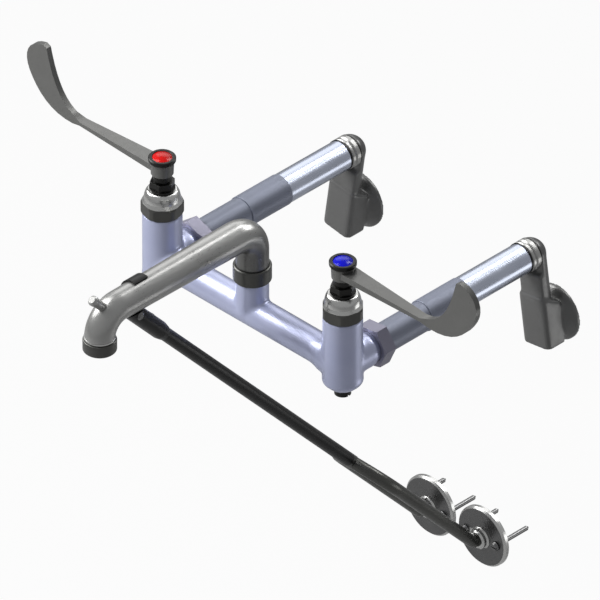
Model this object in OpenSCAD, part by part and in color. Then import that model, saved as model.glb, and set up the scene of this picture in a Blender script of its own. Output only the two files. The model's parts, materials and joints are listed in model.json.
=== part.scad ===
// Wall mounted service sink faucet: two wrist blade valves on a bridge, a long spout and a brace.
// The origin is on the wall plane, midway between the supplies and level with the bridge.
// X runs to the user's right, Y into the wall and Z up. Sizes are in millimetres.
// The modules of a valve or an inlet are written for the cold side, and the hot side mirrors them.

/* [Layout] */
// Distance between the two valve axes
centres = 203.2; // [190:0.2:240]
// Distance from the wall to the valve axes
wall_reach = 235; // [225:1:280]
// Distance from the valve axes out to the outlet axis
spout_reach = 170.5; // [150:0.5:230]
// Height of the spout's centreline above the bridge's
spout_rise = 79.5; // [77:0.5:100]
// Depth of the wall flanges' centres below the bridge
brace_drop = 325; // [290:1:350]

/* [Body casting] */
// Outer diameter of the bridge
bridge_d = 26; // [25:0.5:28]
// Water passage through the bridge
bridge_bore_d = 14; // [10:0.5:15]
// Outer diameter of the spout spigot
spigot_d = 27; // [26:0.5:29]
// Height of the spigot's shoulder above the bridge's centreline
spigot_shoulder = 31; // [29:0.1:34]
// Outer diameter of a valve tower
tower_d = 32.5; // [32:0.5:36]
// Height of a tower's rim above the bridge's centreline
tower_top = 45.5; // [43:0.5:50]
// Depth of a tower's bowl below the bridge's centreline
bowl_depth = 23; // [20:0.5:28]
// Outer diameter of the inlet arm behind a tower
inlet_arm_d = 30; // [29:0.5:31]
// Length of the inlet arm from the valve axis to its thread
inlet_arm_len = 29.5; // [26:0.5:34]

/* [Valve] */
// Bore that holds the cartridge
cartridge_bore_d = 24.4; // [24:0.1:25.6]
// Height of the valve seat above the bridge's centreline
seat_z = 8; // [7:0.5:10]
// Diameter of the ceramic discs
disc_d = 18.2; // [17:0.1:19]
// Thickness of a ceramic disc
disc_t = 3; // [2:0.1:4]
// Thickness of the seat seal
seal_t = 2; // [1:0.1:3]
// Diameter of the valve stem
stem_d = 10; // [9:0.1:10.4]
// Diameter of the shut-off plug under the valve
stop_d = 13.7; // [12:0.1:14.4]
// How far the shut-off plug stands out under the bowl
stop_out = 7; // [5:0.5:9]
// Width across the bonnet's flats
bonnet_af = 32; // [31:0.5:36]
// Height of the bonnet's hexagonal ring
bonnet_ring_h = 11; // [9:0.5:14]
// Height of the bonnet's dome
bonnet_dome_h = 11; // [9:0.5:14]
// Width across the packing nut's flats
packing_af = 18; // [17:0.1:19.5]
// Height of the packing nut above the bonnet
packing_h = 13.5; // [11:0.5:15]

/* [Handle] */
// Distance from the valve axis to the blade's neck
handle_len = 99; // [85:1:120]
// Length of the blade beyond its neck
blade_len = 52.5; // [40:1:60]
// Rise of the blade from its lower edge at the neck
blade_rise = 60; // [50:1:70]
// Height of the blade at its neck
neck_h = 9.3; // [8:0.1:10.5]
// Thickness of the blade
blade_t = 5; // [4:0.1:6]
// Width of the handle's arm at the hub
arm_hub_w = 15.8; // [14:0.1:17]
// Width of the handle's arm at the neck
arm_neck_w = 8; // [6:0.1:9]
// Thickness of the handle's arm at the hub
arm_hub_t = 6; // [5:0.1:6.5]
// Thickness of the handle's arm at the neck
arm_neck_t = 3.4; // [3:0.1:4]
// Diameter of the handle's hub at its foot
hub_d = 18.4; // [18:0.1:20]
// Height of the handle's hub
hub_h = 17; // [15:0.5:19]
// Diameter of the coloured index cap
cap_d = 16.4; // [14:0.1:17]

/* [Spout] */
// Diameter of the spout at its rear bend
spout_rear_d = 27; // [26:0.5:27.5]
// Diameter of the spout at its front bend
spout_front_d = 25; // [23:0.5:26]
// Wall thickness of the spout
spout_wall = 2.2; // [1.6:0.1:3]
// Radius of the rear bend's centreline
rear_bend = 20; // [17:0.5:22]
// Radius of the front bend's centreline
front_bend = 21; // [18:0.5:23]
// Diameter of the nut that holds the spout
spout_nut_d = 31.4; // [31:0.1:34]
// Height of the nut that holds the spout
spout_nut_h = 14.2; // [12:0.1:15]
// Diameter of the outlet's hose thread over its crests
outlet_d = 27.6; // [27:0.1:29]
// Length of the outlet's hose thread
outlet_h = 11; // [8:0.1:12.5]
// How far the pail hook stands out of the spout
hook_len = 17; // [12:0.5:25]
// Diameter of the pail hook
hook_d = 7.5; // [6:0.1:8.5]

/* [Inlets] */
// Width across the coupling nut's flats
nut_af = 33; // [32:0.5:36]
// Length of the coupling nut
nut_len = 12; // [11:0.5:15]
// Outer diameter of the tailpiece
tail_d = 25.4; // [24:0.1:26]
// Where the tailpiece ends behind the valve axis
tail_end = 89; // [75:1:95]
// Outer diameter of the pipe coupling
coupling_d = 27; // [26.5:0.1:29]
// Length of the pipe coupling
coupling_len = 45; // [36:1:48]
// Outer diameter of the supply tube
tube_d = 26; // [25:0.1:26.5]
// Length of the swivel collar
collar_len = 9; // [7:0.5:12]
// Distance from the wall to the drop arm's face
stand_off = 23.5; // [20:0.5:26]
// Distance from the supply tube's axis down to the wall inlet
arm_drop = 63.5; // [55:0.5:75]
// Tilt of a drop arm away from the middle, as it was set
arm_tilt = 8.3; // [0:0.1:15]
// Width of the drop arm's block
block_w = 29.4; // [26:0.2:31]
// Diameter of the drop arm's foot on the wall
foot_d = 49; // [44:1:60]
// Tap drill of the female inlet thread
inlet_thread_d = 18.4; // [17:0.1:20]

/* [Brace] */
// Distance from the outlet axis back to the brace's top
brace_back = 35; // [30:1:45]
// Diameter of the brace rod
rod_d = 11.6; // [10:0.1:12.4]
// Diameter of the sleeve on the rod's upper end
sleeve_d = 15; // [14.4:0.1:17]
// Length of the sleeve on the rod's upper end
sleeve_len = 53; // [40:1:60]
// Distance between the legs of the hairpin
hairpin_w = 60; // [57:1:80]
// Diameter of the hairpin's bar
hairpin_d = 10.6; // [9:0.1:11]
// Length of the hairpin along its legs
hairpin_len = 160; // [120:1:180]
// Diameter of a wall flange
flange_d = 54; // [50:1:56]
// Thickness of a wall flange
flange_t = 5; // [3:0.1:6]
// Distance between a flange's two screws
screw_pitch = 34; // [30:0.5:38]
// Diameter of a wall screw's shank
screw_d = 4; // [3:0.1:5]
// How far a wall screw reaches behind the wall plane
screw_out = 32; // [20:1:45]

/* [Fits] */
// Radial clearance of a turning fit
run_gap = 0.05; // [0.02:0.01:0.09]
// Radial clearance of a part that is pushed in by hand
slip_gap = 0.15; // [0.1:0.01:0.25]
// Clearance between parts that pass each other
pass_gap = 0.4; // [0.3:0.05:0.5]

/* [Hidden] */
$fn = 72;

// A little more than any cut needs, so that it comes out clean
over = 1;

// Body casting
bridge_r = bridge_d / 2;
spigot_r = spigot_d / 2;
thread_step = 0.5;
spigot_thread_r = spigot_r - thread_step;
tower_r = tower_d / 2;
bowl_r = tower_r + 0.6;
bowl_chamfer = 6;
inlet_arm_r = inlet_arm_d / 2;
inlet_thread_r = inlet_arm_r - 1.8;
inlet_thread_len = 6;
body_wall = 3;

// Valve stack, from the seat upwards
seal_top = seat_z + seal_t;
fixed_top = seal_top + disc_t;
moving_top = fixed_top + disc_t;
foot_t = 3.5;
foot_top = moving_top + foot_t;
bonnet_neck = 9;
shoulder_z = tower_top - bonnet_neck;
cartridge_wall = 1.6;
cartridge_d = disc_d + 2 * pass_gap / 2 + 2 * cartridge_wall;
cartridge_neck_d = stem_d + 4;
ring_top = tower_top + bonnet_ring_h;
dome_top = ring_top + bonnet_dome_h;
cartridge_neck_top = tower_top + 5;
packing_floor = ring_top - 2;
packing_t = 4;
packing_bore_d = packing_af - 4.4;
packing_top = dome_top + packing_h;
packing_collar = 5;

// Shut-off plug
stop_flange_d = stop_d + 3.3;
stop_flange_t = 2.8;
stop_flange_z = seat_z - stop_flange_t - pass_gap / 2;
stop_port_d = 8;

// Handle
hub_z = packing_top + pass_gap;
hub_top = hub_z + hub_h;
web_t = 2;
spline_d = stem_d - 0.8;
spline_len = 8.2;
stem_tap_d = 4.1;
stem_tap_below = 6;
screw_head_t = 2.4;
web_top = hub_z + spline_len + web_t;
cap_seat = web_top + screw_head_t + 0.3;
cap_dome = 2;
arm_top = hub_top - 6.3;
neck_z = hub_z + 1.6;

// Spout
rear_r = spout_rear_d / 2;
front_r = spout_front_d / 2;
gasket_t = 1.5;
spigot_top = spigot_shoulder + 6;
flange_z = spigot_top + gasket_t;
spout_flange_t = 2.4;
spout_nut_top = spigot_shoulder + spout_nut_h;
spout_flange_r = spout_nut_d / 2 - 1.6;
outlet_top = spout_rise - front_bend - 0.8;
outlet_z = outlet_top - outlet_h;
neck_r = front_r - 0.5;
regulator_t = 2;
outlet_lip = 2;
hook_angle = 47;
hook_back = 8;
hook_shank_d = 4;
outer_bend = front_bend + front_r;
hook_root = hook_back * cos(hook_angle) + sqrt(outer_bend * outer_bend - pow(hook_back * sin(hook_angle), 2));

// Inlets
nut_y = inlet_arm_len;
washer_t = 2;
washer_y = inlet_arm_len + inlet_thread_len;
tail_y = washer_y + washer_t;
nut_lip = 1.8;
nut_end = nut_y + nut_len;
tail_flange_t = nut_end - nut_lip - pass_gap / 2 - tail_y;
pipe_bore_d = 18;
joint_len = 12;
joint_d = tail_d - 2.6;
coupling_end = tail_end + coupling_len;
arm_face = wall_reach - stand_off;
collar_y = arm_face - pass_gap - collar_len;
spigot_in = 6;
swivel_root_d = tube_d - 4;
swivel_d = swivel_root_d - 2.8;
swivel_bore_d = swivel_d - 5.2;
seal_groove = 1;
seal_w = 2;
boss_r = tube_d / 2 + 0.3;

// Drop arm, measured from the wall plane and the tube's axis
neck_half_w = boss_r - 0.6;
neck_out = 3.5;
slope_top = 14.2;
neck_top = 17.7;
block_out = 5.5;
block_top = 37;
block_back = 8.5;
block_slope = 9.5;
block_round = 4.5;
block_len = 20;
arm_way_d = 8.4;
arm_way_y = stand_off - 5.9;
inlet_depth = 14;
socket_len = 12.6;
strainer_t = 1.2;
foot_plate = 4;
foot_boss_d = 34;

// Strap that hangs the brace on the spout
strap_out = spout_reach - brace_back - 9;
strap_w = 14;
strap_t = 1.5;
strap_r = rear_r + (front_r - rear_r) * (strap_out - strap_w / 2 - rear_bend)
    / (spout_reach - rear_bend - front_bend) + 0.05;
strap_over = 12;
tongue_t = 4;
tongue_h = 10;
tongue_end = 9;
pin_z = 4.5;
pin_d = 4;

// Brace line, from the spout's underside to the middle between the flanges
brace_y = -wall_reach - spout_reach + brace_back;
brace_z = spout_rise - spout_front_d / 2;
flange_stand = 14;
brace_run = -flange_stand - brace_y;
brace_fall = brace_z + brace_drop;
brace_angle = atan2(brace_fall, brace_run);
brace_len = sqrt(brace_run * brace_run + brace_fall * brace_fall);
leg_bend = 8;
leg_tangent = leg_bend * tan(brace_angle / 2);
leg_x = hairpin_w / 2;
apex = brace_len - hairpin_len;
rod_start = 10;
apex_boss = 8;
leg_end_y = -1.6;
hub_len = 6;
hub_r = hairpin_d / 2 + 3.2;
sleeve_taper = 7;

// Points of an arc, from one angle to another about a centre
function arc(cx, cy, r, a0, a1, n = 8) =
    [for (i = [0:n]) [cx + r * cos(a0 + (a1 - a0) * i / n), cy + r * sin(a0 + (a1 - a0) * i / n)]];

// Points of a cubic curve with its ends at p and s and its handles at q and r
function bezier(p, q, r, s, n = 8) =
    [for (i = [0:n]) let (t = i / n, u = 1 - t)
        u * u * u * p + 3 * u * u * t * q + 3 * u * t * t * r + t * t * t * s];

// Cold side as drawn, hot side mirrored
module on_side(side) {
    if (side < 0) mirror([1, 0, 0]) children();
    else children();
}

// At a valve's axis, level with the bridge
module at_valve(side) {
    translate([side * centres / 2, -wall_reach, 0]) on_side(side) children();
}

// At the middle of the bridge, below the spout
module at_spout() {
    translate([0, -wall_reach, 0]) children();
}

// Turns a shape made along +Z so that it runs along +Y
module along_y() {
    rotate([-90, 0, 0]) children();
}

// At a drop arm: the tube's axis on the wall plane, turned to the arm's tilt
module at_drop_arm(side) {
    translate([side * centres / 2, 0, 0]) on_side(side) rotate([0, -arm_tilt, 0]) children();
}

// Along the brace: +Z runs down it from the spout's underside
module along_brace() {
    translate([0, brace_y, brace_z]) rotate([-90 - brace_angle, 0, 0]) children();
}

// Ring of revolution about Z between two radii and two heights
module ring(r_out, r_in, z0, z1) {
    translate([0, 0, z0]) difference() {
        cylinder(r = r_out, h = z1 - z0);
        translate([0, 0, -over]) cylinder(r = r_in, h = z1 - z0 + 2 * over);
    }
}

// Six-sided bar of a width across flats, with its corners turned down at one end or both
module hex_nut(af, h, foot_chamfer, top_chamfer) {
    corner = af / 2 / cos(30);
    turned = af / 2 + 0.35;
    intersection() {
        cylinder(r = corner, h = h, $fn = 6);
        rotate_extrude() polygon([
            [0, 0], [foot_chamfer > 0 ? turned : corner + over, 0], [corner + over, foot_chamfer],
            [corner + over, h - top_chamfer], [top_chamfer > 0 ? turned : corner + over, h], [0, h]
        ]);
    }
}

// Part of a bend in the YZ plane: from an angle off +Y, through a sweep towards +Z
module bend_yz(cy, cz, bend_r, r, from, sweep) {
    translate([0, cy, cz]) rotate([90, 0, 90]) rotate([0, 0, from])
        rotate_extrude(angle = sweep) translate([bend_r, 0]) circle(r = r);
}

// Body casting: the bridge, its spigot, two towers and two inlet arms in one piece
module tower_solid() {
    rotate_extrude() polygon([
        [0, -bowl_depth], [bowl_r - bowl_chamfer, -bowl_depth], [bowl_r, -bowl_depth + bowl_chamfer],
        [bowl_r, -bridge_r - 1], [tower_r, -bridge_r + 1], [tower_r, tower_top], [0, tower_top]
    ]);
    flare_r = bridge_r + 2.6;
    flare_arc = 40;
    flare_end = tower_r + 14;
    flare_turn = acos(1 - (flare_r - bridge_r) / flare_arc);
    rotate([0, -90, 0]) rotate_extrude() polygon(concat(
        [[0, 0], [flare_r, 0]],
        arc(bridge_r + flare_arc, flare_end, flare_arc, 180 + flare_turn, 180),
        [[0, flare_end]]
    ));
    shoulder = 6;
    shoulder_turn = acos(1 - (inlet_arm_r - inlet_thread_r) / shoulder);
    along_y() rotate_extrude() polygon(concat(
        [[0, 0], [inlet_arm_r, 0]],
        arc(inlet_arm_r - shoulder, inlet_arm_len - shoulder, shoulder, 0, shoulder_turn),
        [[inlet_thread_r, washer_y], [0, washer_y]]
    ));
}

// Bore of revolution about Z through steps of [radius, height], open at both ends
module stepped_bore(steps) {
    last = len(steps) - 1;
    rotate_extrude() polygon(concat(
        [[0, steps[0][1]]],
        [for (i = [0:last - 1]) each [[steps[i][0], steps[i][1]], [steps[i][0], steps[i + 1][1]]]],
        [[0, steps[last][1]]]
    ));
}

module tower_cuts() {
    stepped_bore([
        [stop_d / 2 + run_gap, -bowl_depth - over], [stop_flange_d / 2 + 2 * run_gap, stop_flange_z],
        [cartridge_bore_d / 2, seat_z], [0, tower_top + over]
    ]);
    along_y() stepped_bore([
        [stop_port_d / 2, 0], [pipe_bore_d / 2 - 1, stop_d / 2 + 2], [0, washer_y + over]
    ]);
    channel_d = 6.4;
    translate([-cartridge_bore_d / 2, 0, 0]) cylinder(d = channel_d, h = seat_z + 4);
}

module bridge_body() color([0.72, 0.74, 0.86]) at_spout() {
    difference() {
        union() {
            rotate([0, 90, 0]) cylinder(d = bridge_d, h = centres, center = true);
            cylinder(d = spigot_d, h = spigot_shoulder);
            cylinder(r = spigot_thread_r, h = spigot_top);
            for (side = [-1, 1]) translate([side * centres / 2, 0, 0]) on_side(side) tower_solid();
        }
        for (side = [-1, 1]) translate([side * centres / 2, 0, 0]) on_side(side) tower_cuts();
        bore_len = centres - cartridge_bore_d + 3;
        rotate([0, 90, 0]) cylinder(d = bridge_bore_d, h = bore_len, center = true);
        cylinder(d = bridge_bore_d + 3, h = spigot_top + over);
    }
}

// Spout: a swivel base, a riser, a long arm and a turned-down outlet
module spout_path(shrink) {
    arm_len = spout_reach - rear_bend - front_bend;
    low = shrink > 0 ? over : 0;
    translate([0, 0, flange_z - low]) cylinder(r = rear_r - shrink, h = spout_rise - rear_bend - flange_z + low);
    bend_yz(-rear_bend, spout_rise - rear_bend, rear_bend, rear_r - shrink, 0, 90);
    translate([0, -rear_bend, spout_rise]) rotate([90, 0, 0])
        cylinder(r1 = rear_r - shrink, r2 = front_r - shrink, h = arm_len);
    bend_yz(-spout_reach + front_bend, spout_rise - front_bend, front_bend, front_r - shrink, 90, 90);
}

module spout() color([0.62, 0.62, 0.6]) at_spout() {
    thread_r = neck_r - 1.2;
    thread_end = outlet_z + outlet_lip + regulator_t;
    difference() {
        union() {
            spout_path(0);
            translate([0, 0, flange_z]) cylinder(r = spout_flange_r, h = spout_flange_t);
            translate([0, -spout_reach, outlet_top])
                cylinder(r = neck_r, h = spout_rise - front_bend - outlet_top + 0.4);
            translate([0, -spout_reach, thread_end]) cylinder(r = thread_r, h = outlet_top - thread_end + 0.5);
        }
        spout_path(spout_wall);
        translate([0, -spout_reach, thread_end - over])
            cylinder(r = front_r - spout_wall - 0.6, h = spout_rise - front_bend - thread_end + over + 0.4);
        hook_shank(slip_gap);
    }
}

module spout_gasket() color([0.15, 0.15, 0.15]) at_spout() {
    ring(spigot_thread_r, bridge_bore_d / 2 + 2, spigot_top, flange_z);
}

module spout_nut() color([0.34, 0.34, 0.33]) at_spout() {
    lip_z = flange_z + spout_flange_t + pass_gap / 2;
    difference() {
        rotate_extrude() polygon([
            [0, spigot_shoulder], [spout_nut_d / 2 - 0.8, spigot_shoulder], [spout_nut_d / 2, spigot_shoulder + 0.8],
            [spout_nut_d / 2, spout_nut_top - 1], [spout_nut_d / 2 - 1, spout_nut_top], [0, spout_nut_top]
        ]);
        translate([0, 0, spigot_shoulder - over]) cylinder(r = spigot_thread_r + slip_gap, h = spout_nut_h);
        translate([0, 0, spigot_top]) cylinder(r = spout_flange_r + slip_gap, h = lip_z - spigot_top);
        translate([0, 0, lip_z - over]) cylinder(r = rear_r + slip_gap, h = spout_nut_h);
    }
}

module stream_regulator() color([0.8, 0.8, 0.8]) at_spout() {
    disc_r = neck_r - 1.3;
    translate([0, -spout_reach, outlet_z + outlet_lip]) difference() {
        cylinder(r = disc_r, h = regulator_t);
        for (a = [0:60:300]) rotate([0, 0, a]) translate([disc_r / 2, 0, -over])
            cylinder(d = 3, h = regulator_t + 2 * over);
        translate([0, 0, -over]) cylinder(d = 3, h = regulator_t + 2 * over);
    }
}

module outlet_collar() color([0.4, 0.4, 0.4]) at_spout() {
    collar_bore_r = neck_r - 1.2 + slip_gap;
    translate([0, -spout_reach, outlet_z]) difference() {
        rotate_extrude() polygon([
            [0, 0], [outlet_d / 2 - 1.2, 0], [outlet_d / 2, 1.2],
            [outlet_d / 2, outlet_h - 0.6], [outlet_d / 2 - 0.6, outlet_h], [0, outlet_h]
        ]);
        translate([0, 0, outlet_lip]) cylinder(r = collar_bore_r, h = outlet_h);
        translate([0, 0, -over]) cylinder(r = neck_r - 3, h = outlet_h);
    }
}

// Pail hook: a short peg where the arm turns down, screwed into the spout's wall
module at_hook() {
    translate([0, -spout_reach + front_bend + hook_back, spout_rise - front_bend])
        rotate([90 - hook_angle, 0, 0]) translate([0, 0, hook_root]) children();
}

module hook_shank(gap) {
    at_hook() translate([0, 0, -spout_wall - 2]) cylinder(d = hook_shank_d + 2 * gap, h = spout_wall + 3);
}

module pail_hook() color([0.66, 0.66, 0.65]) at_spout() {
    head_d = hook_d + 1;
    head_t = 4;
    difference() {
        at_hook() {
            translate([0, 0, -spout_wall - 2]) cylinder(d = hook_shank_d, h = spout_wall + 3);
            translate([0, 0, -2]) cylinder(d = hook_d, h = hook_len + 2 - head_t);
            translate([0, 0, hook_len - head_t - 3]) cylinder(d1 = hook_d, d2 = head_d, h = 3);
            translate([0, 0, hook_len - head_t]) cylinder(d = head_d, h = head_t - 2);
            translate([0, 0, hook_len - 2]) cylinder(d1 = head_d, d2 = head_d - 3, h = 2);
        }
        difference() {
            spout_path(-0.05);
            hook_shank(0);
        }
        spout_path(spout_wall);
    }
}

// Brace strap: a hooked band over the spout's top and far side, with a tongue into the sleeve
module brace_strap() color([0.25, 0.25, 0.25]) {
    difference() {
        union() {
            translate([0, -wall_reach - strap_out + strap_w / 2, spout_rise]) rotate([90, 0, 0])
                rotate([0, 0, 90 - strap_over]) rotate_extrude(angle = strap_over + 190)
                translate([strap_r, 0]) square([strap_t, strap_w]);
            along_brace() translate([-tongue_t / 2, -tongue_h / 2, -strap_t]) cube([tongue_t, tongue_h, tongue_end + strap_t]);
        }
        translate([0, -wall_reach - strap_out + strap_w, spout_rise]) rotate([90, 0, 0])
            cylinder(r = strap_r, h = 2 * strap_w);
        pin_hole(slip_gap);
    }
}

module pin_hole(gap) {
    along_brace() translate([0, 0, pin_z]) rotate([0, 90, 0])
        cylinder(d = pin_d + 2 * gap, h = 2 * sleeve_d, center = true);
}

// Cross pin through the sleeve and the strap's tongue
module brace_pin() color([0.75, 0.75, 0.75]) {
    head_d = pin_d + 3;
    head_in = sleeve_d / 2 + 0.2;
    along_brace() translate([0, 0, pin_z]) rotate([0, 90, 0]) {
        cylinder(d = pin_d, h = sleeve_d + 1, center = true);
        for (turn = [0, 180]) rotate([turn, 0, 0]) translate([0, 0, head_in]) cylinder(d1 = head_d, d2 = pin_d, h = 1.4);
    }
}

// Valve parts, from the seat upwards
module seat_seal(side) color([0.12, 0.12, 0.12]) at_valve(side) {
    ring(cartridge_d / 2, disc_d / 2 - 3.6, seat_z, seal_top);
}

module disc_ports(z) {
    for (a = [0, 180]) rotate([0, 0, a + 90]) translate([disc_d / 4, 0, z - over])
        cylinder(d = disc_d / 4, h = disc_t + 2 * over);
}

module fixed_disc(side) color([0.93, 0.93, 0.9]) at_valve(side) difference() {
    translate([0, 0, seal_top]) cylinder(d = disc_d, h = disc_t);
    disc_ports(seal_top);
}

module moving_disc(side) color([0.93, 0.93, 0.9]) at_valve(side) difference() {
    translate([0, 0, fixed_top]) cylinder(d = disc_d, h = disc_t);
    translate([0, 0, 0]) rotate([0, 0, 90]) disc_ports(fixed_top);
}

module cartridge(side) color([0.78, 0.66, 0.36]) at_valve(side) {
    chamber_top = foot_top + pass_gap;
    difference() {
        union() {
            translate([0, 0, seal_top]) cylinder(d = cartridge_d, h = shoulder_z - seal_top);
            translate([0, 0, shoulder_z]) cylinder(d = cartridge_neck_d, h = cartridge_neck_top - shoulder_z);
        }
        translate([0, 0, seal_top - over]) cylinder(d = disc_d + pass_gap, h = chamber_top - seal_top + over);
        translate([0, 0, chamber_top - over])
            cylinder(d = stem_d + 2 * run_gap, h = cartridge_neck_top - chamber_top + 2 * over);
        for (a = [90, 180, 270]) rotate([0, 0, a]) translate([0, -2.5, fixed_top])
            cube([cartridge_d, 5, disc_t + foot_t]);
    }
}

module stem(side) color([0.8, 0.68, 0.38]) at_valve(side) difference() {
    union() {
        translate([0, 0, moving_top]) cylinder(d = disc_d - 0.6, h = foot_t);
        translate([0, 0, foot_top]) cylinder(d = stem_d, h = hub_z - foot_top);
        translate([0, 0, hub_z]) cylinder(d = spline_d, h = spline_len - 0.2);
    }
    translate([0, 0, hub_z - stem_tap_below]) cylinder(d = stem_tap_d, h = stem_tap_below + spline_len + over);
}

module packing(side) color([0.1, 0.1, 0.1]) at_valve(side) {
    ring(packing_bore_d / 2 - slip_gap, stem_d / 2 + run_gap, packing_floor, packing_floor + packing_t);
}

module bonnet(side) color([0.8, 0.8, 0.8]) at_valve(side) difference() {
    union() {
        translate([0, 0, shoulder_z]) cylinder(d = cartridge_bore_d - 2 * slip_gap, h = bonnet_neck);
        translate([0, 0, tower_top]) rotate([0, 0, 15]) intersection() {
            cylinder(r = bonnet_af / 2 / cos(30), h = bonnet_ring_h + 3, $fn = 6);
            rotate_extrude() polygon([
                [0, 0], [bonnet_af / 2 + 0.4, 0], [bonnet_af / 2 + 1.4, 1.5],
                [bonnet_af / 2 + 1.4, bonnet_ring_h - 2], [bonnet_af / 2 - 1.3, bonnet_ring_h + 3],
                [0, bonnet_ring_h + 3]
            ]);
        }
        dome_r = bonnet_af / 2 - 1;
        dome_low = ring_top + 1;
        neck = packing_af / 2 + 2;
        rotate_extrude() polygon(concat(
            [[0, ring_top - 2], [dome_r, ring_top - 2]],
            [for (a = [0:10:90]) [
                neck + (dome_r - neck) * cos(a), dome_low + (dome_top - dome_low) * sin(a)
            ]],
            [[0, dome_top]]
        ));
    }
    translate([0, 0, shoulder_z - over]) cylinder(
        d = cartridge_neck_d + 2 * slip_gap, h = cartridge_neck_top - shoulder_z + over + pass_gap);
    translate([0, 0, tower_top]) cylinder(d = stem_d + 1, h = dome_top);
    translate([0, 0, packing_floor]) cylinder(d = packing_bore_d, h = dome_top);
}

module packing_nut(side) color([0.2, 0.2, 0.2]) at_valve(side) difference() {
    union() {
        translate([0, 0, dome_top]) cylinder(d = packing_af + 3.2, h = 2);
        translate([0, 0, dome_top]) hex_nut(packing_af, packing_h - packing_collar, 0, 1);
        translate([0, 0, packing_top - packing_collar - 0.5]) cylinder(d = packing_af - 3, h = packing_collar + 0.5);
        neck_bottom = packing_floor + packing_t;
        translate([0, 0, neck_bottom])
            cylinder(d = packing_bore_d - 2 * slip_gap, h = dome_top - neck_bottom + over);
    }
    translate([0, 0, packing_floor]) cylinder(d = stem_d + 0.6, h = packing_top);
}

module stop_plug(side) color([0.66, 0.66, 0.66]) at_valve(side) difference() {
    union() {
        translate([0, 0, -bowl_depth - stop_out]) cylinder(d = stop_d, h = bowl_depth + stop_out + stop_flange_z);
        translate([0, 0, stop_flange_z]) cylinder(d = stop_flange_d, h = stop_flange_t);
    }
    along_y() cylinder(d = stop_port_d, h = stop_d);
    translate([0, 0, -stop_port_d / 2]) cylinder(d = stop_port_d, h = stop_port_d + seat_z);
    translate([-stop_d, -0.8, -bowl_depth - stop_out - over]) cube([2 * stop_d, 1.6, 2 + over]);
}

// Handle: a hub, a tapering flat arm and an upright blade like the end of a hockey stick
module handle(side) color([0.55, 0.55, 0.55]) at_valve(side) difference() {
    twist_len = 9;
    arm_end = handle_len - twist_len;
    arm_low = arm_top - arm_hub_t;
    neck_mid = neck_z + neck_h / 2;
    union() {
        rotate_extrude() polygon([
            [0, hub_z], [hub_d / 2 - 1.4, hub_z], [hub_d / 2, hub_z + 1.6], [hub_d / 2 + 0.5, hub_top - 5],
            [hub_d / 2 + 1.8, hub_top - 3.6], [hub_d / 2 + 1.8, hub_top - 0.6], [hub_d / 2 + 1.2, hub_top],
            [0, hub_top]
        ]);
        intersection() {
            translate([0, 0, hub_z]) linear_extrude(hub_h) polygon([
                [0, -arm_hub_w / 2], [arm_end, -arm_neck_w / 2], [arm_end, arm_neck_w / 2], [0, arm_hub_w / 2]
            ]);
            translate([0, arm_hub_w, 0]) rotate([90, 0, 0]) linear_extrude(2 * arm_hub_w) polygon([
                [0, arm_low], [arm_end, neck_mid - arm_neck_t / 2], [arm_end, neck_mid + arm_neck_t / 2], [0, arm_top]
            ]);
        }
        hull() {
            translate([arm_end - 0.2, -arm_neck_w / 2, neck_mid - arm_neck_t / 2]) cube([0.2, arm_neck_w, arm_neck_t]);
            translate([handle_len, -blade_t / 2, neck_z]) cube([0.2, blade_t, neck_h]);
        }
        translate([0, blade_t / 2, 0]) rotate([90, 0, 0]) linear_extrude(blade_t) blade_outline();
    }
    translate([0, 0, hub_z - over]) cylinder(d = spline_d + 2 * slip_gap, h = spline_len + over);
    translate([0, 0, hub_z]) cylinder(d = 4.3, h = hub_h);
    translate([0, 0, web_top]) cylinder(d = cap_d - 6.4, h = hub_h);
    translate([0, 0, cap_seat]) cylinder(d = cap_d + 2 * slip_gap, h = hub_h);
}

// Places on the blade run from 0 to 1 along its length and its rise
function on_blade(u, v) = [handle_len + u * blade_len, neck_z + v * blade_rise];

module blade_outline() {
    tip = on_blade(0.64, 1);
    shoulder = on_blade(0.93, 0.48);
    inner_tip = on_blade(0.56, 0.97);
    polygon(concat(
        bezier([handle_len, neck_z], on_blade(0.48, -0.02), on_blade(0.76, 0.2), shoulder),
        bezier(shoulder, on_blade(1.06, 0.71), on_blade(0.97, 0.94), tip),
        bezier(inner_tip, on_blade(0.46, 0.61), on_blade(0.32, 0.27), [handle_len, neck_z + neck_h])
    ));
}

module handle_screw(side) color([0.7, 0.7, 0.7]) at_valve(side) difference() {
    union() {
        translate([0, 0, hub_z - 4]) cylinder(d = 4, h = web_top - hub_z + 4.5);
        translate([0, 0, web_top]) cylinder(d = 7.6, h = screw_head_t);
    }
    translate([-4, -0.5, web_top + screw_head_t - 1]) cube([8, 1, 2]);
    translate([-0.5, -4, web_top + screw_head_t - 1]) cube([1, 8, 2]);
}

module index_cap(side) color(side < 0 ? [0.88, 0.07, 0.1] : [0.02, 0.02, 0.85]) at_valve(side) {
    rim = hub_top - 0.6;
    crown_r = (cap_d * cap_d / 4 + cap_dome * cap_dome) / (2 * cap_dome);
    translate([0, 0, cap_seat]) cylinder(d = cap_d, h = rim - cap_seat);
    intersection() {
        translate([0, 0, rim]) cylinder(d = cap_d, h = 2 * cap_dome);
        translate([0, 0, rim + cap_dome - crown_r]) sphere(r = crown_r, $fn = 96);
    }
}

// Inlet parts, from the body back to the wall
module inlet_washer(side) color([0.12, 0.12, 0.12]) at_valve(side) along_y() {
    ring(inlet_thread_r, pipe_bore_d / 2, washer_y, tail_y);
}

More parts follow.
